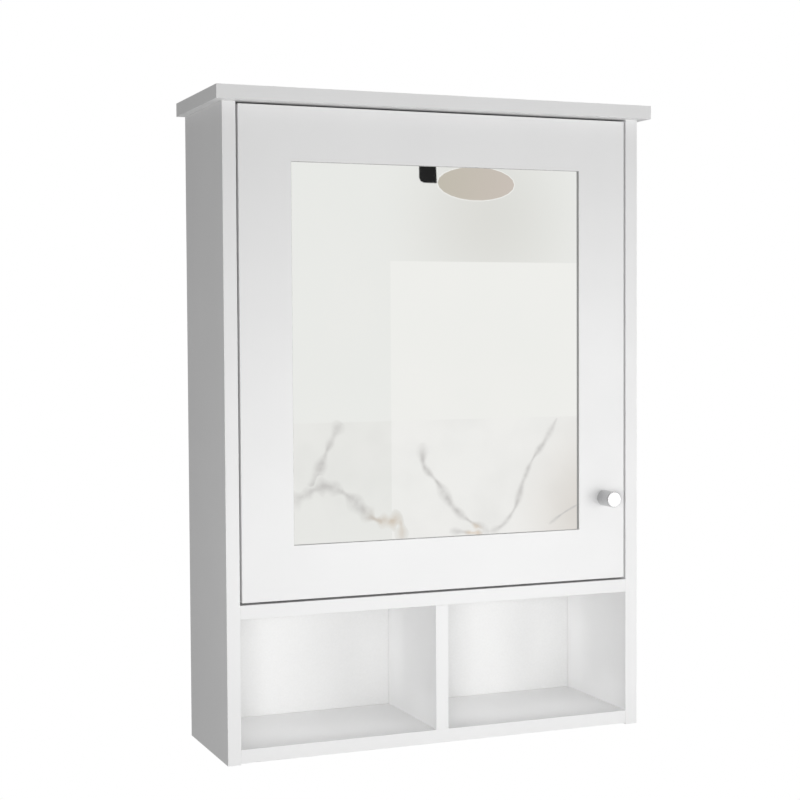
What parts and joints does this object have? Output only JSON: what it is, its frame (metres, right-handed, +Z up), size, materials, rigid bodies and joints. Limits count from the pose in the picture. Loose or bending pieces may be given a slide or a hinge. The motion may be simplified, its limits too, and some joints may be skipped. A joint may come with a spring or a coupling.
{
  "type": "hanging wall cabinet",
  "caption": "White hanging wall cabinet with an inset mirror door on concealed hinges over a row of open cubbies.",
  "frame": {"origin": "middle of the top board's rear edge, which lies on the wall", "axes": "+Z up, +Y into the wall, the door faces -Y, +X to the right as seen from the front"},
  "size_m": [0.52, 0.175, 0.723],
  "materials": {
    "white_board": "satin white foil on MDF",
    "white_hardboard": "white faced thin hardboard",
    "brown_hardboard": "raw brown hardboard",
    "mirror_glass": "silvered glass",
    "brushed_metal": "satin brushed",
    "nickel_steel": "nickel plated pressed steel",
    "zinc": "die cast zinc, dull",
    "beech": "plain turned beech"
  },
  "bodies": {
    "carcass": {"top_board": "white_board", "left_side_panel": "white_board", "right_side_panel": "white_board", "middle_shelf": "white_board", "bottom_board": "white_board", "cubby_divider": "white_board", "back_panel": "white_hardboard", "hanging_rail": "white_board", "adjustable_shelf": "white_board", "shelf_pin_left_front": "nickel_steel", "shelf_pin_left_rear": "nickel_steel", "shelf_pin_right_front": "nickel_steel", "shelf_pin_right_rear": "nickel_steel", "cam_lock_top_left": "zinc", "cam_lock_shelf_left": "zinc", "cam_lock_bottom_left": "zinc", "cam_lock_top_right": "zinc", "cam_lock_shelf_right": "zinc", "cam_lock_bottom_right": "zinc", "cam_bolt_top_left": "zinc", "cam_bolt_shelf_left": "zinc", "cam_bolt_bottom_left": "zinc", "cam_bolt_top_right": "zinc", "cam_bolt_shelf_right": "zinc", "cam_bolt_bottom_right": "zinc", "dowel_top_left": "beech", "dowel_shelf_left": "beech", "dowel_bottom_left": "beech", "dowel_top_right": "beech", "dowel_shelf_right": "beech", "dowel_bottom_right": "beech", "upper_mounting_plate": "nickel_steel", "upper_hinge_arm": "nickel_steel", "upper_outer_arm_pin": "nickel_steel", "upper_inner_arm_pin": "nickel_steel", "upper_plate_screw_upper": "nickel_steel", "upper_plate_screw_lower": "nickel_steel", "lower_mounting_plate": "nickel_steel", "lower_hinge_arm": "nickel_steel", "lower_outer_arm_pin": "nickel_steel", "lower_inner_arm_pin": "nickel_steel", "lower_plate_screw_upper": "nickel_steel", "lower_plate_screw_lower": "nickel_steel"},
    "outer_links": {"upper_outer_link": "nickel_steel", "lower_outer_link": "nickel_steel"},
    "inner_links": {"upper_inner_link": "nickel_steel", "lower_inner_link": "nickel_steel"},
    "door": {"door_frame": "white_board", "mirror": "mirror_glass", "mirror_backing": "brown_hardboard", "knob": "brushed_metal", "knob_screw": "nickel_steel", "upper_hinge_cup": "nickel_steel", "upper_cup_pin": "nickel_steel", "upper_cup_screw_upper": "nickel_steel", "upper_cup_screw_lower": "nickel_steel", "lower_hinge_cup": "nickel_steel", "lower_cup_pin": "nickel_steel", "lower_cup_screw_upper": "nickel_steel", "lower_cup_screw_lower": "nickel_steel"}
  },
  "joints": [
    {"name": "outer_link_swing", "type": "hinge", "parent": "carcass", "child": "outer_links", "pos_m": [-0.211, -0.14, -0.2755], "axis": [0, 0, -1], "range_deg": [0, 76.7]},
    {"name": "door_swing", "type": "hinge", "parent": "outer_links", "child": "door", "pos_m": [-0.2221, -0.1436, -0.2755], "axis": [0, 0, -1], "range_deg": [0, 18.3]},
    {"name": "inner_link_swing", "type": "hinge", "parent": "carcass", "child": "inner_links", "pos_m": [-0.2035, -0.14, -0.2755], "axis": [0, 0, -1], "range_deg": [0, 17.1]}
  ],
  "couplings": [
    {"joint": "door_swing", "follows": "outer_link_swing", "ratio": 0.23855},
    {"joint": "inner_link_swing", "follows": "outer_link_swing", "ratio": 0.22286}
  ]
}
